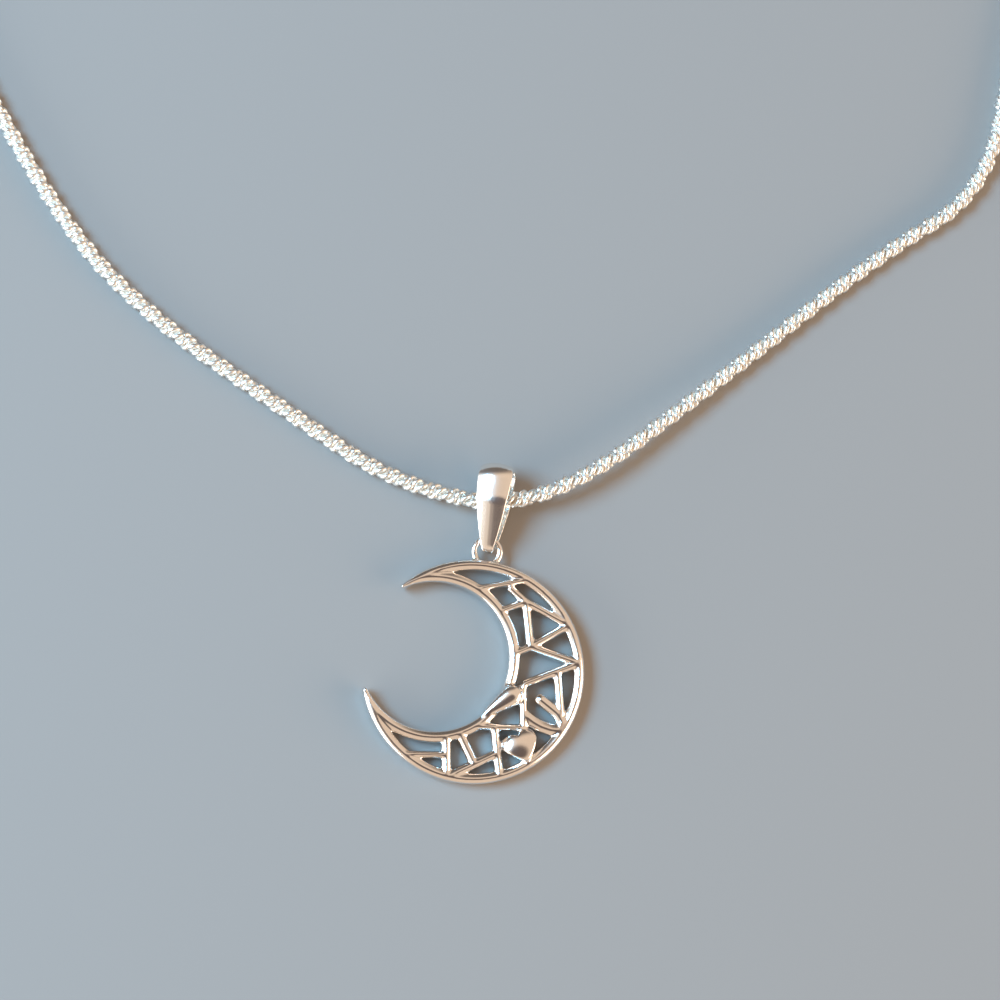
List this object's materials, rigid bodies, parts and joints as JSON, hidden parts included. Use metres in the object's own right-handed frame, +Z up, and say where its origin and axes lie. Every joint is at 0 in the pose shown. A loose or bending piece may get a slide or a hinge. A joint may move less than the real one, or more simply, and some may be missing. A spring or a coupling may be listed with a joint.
{
  "type": "crescent moon pendant necklace",
  "caption": "Openwork crescent moon pendant with a domed heart, drop and hook in its lattice, hung by a tapered bail on a rope chain loop that lies flat.",
  "frame": {"origin": "centre of the whole necklace's bounding box, on the surface that it lies on", "axes": "+Y from the pendant to the clasp, +X to the right of the pendant as the picture shows it, +Z up from the surface"},
  "size_m": [0.1179, 0.19, 0.0041],
  "materials": {
    "cast_silver": "polished cast silver",
    "bail_silver": "polished silver strap",
    "chain_silver": "bright drawn silver wire",
    "clasp_silver": "polished silver"
  },
  "bodies": {
    "root": {"crescent": "cast_silver", "bail": "bail_silver", "rope_chain": "chain_silver", "clasp": "clasp_silver"}
  },
  "joints": []
}
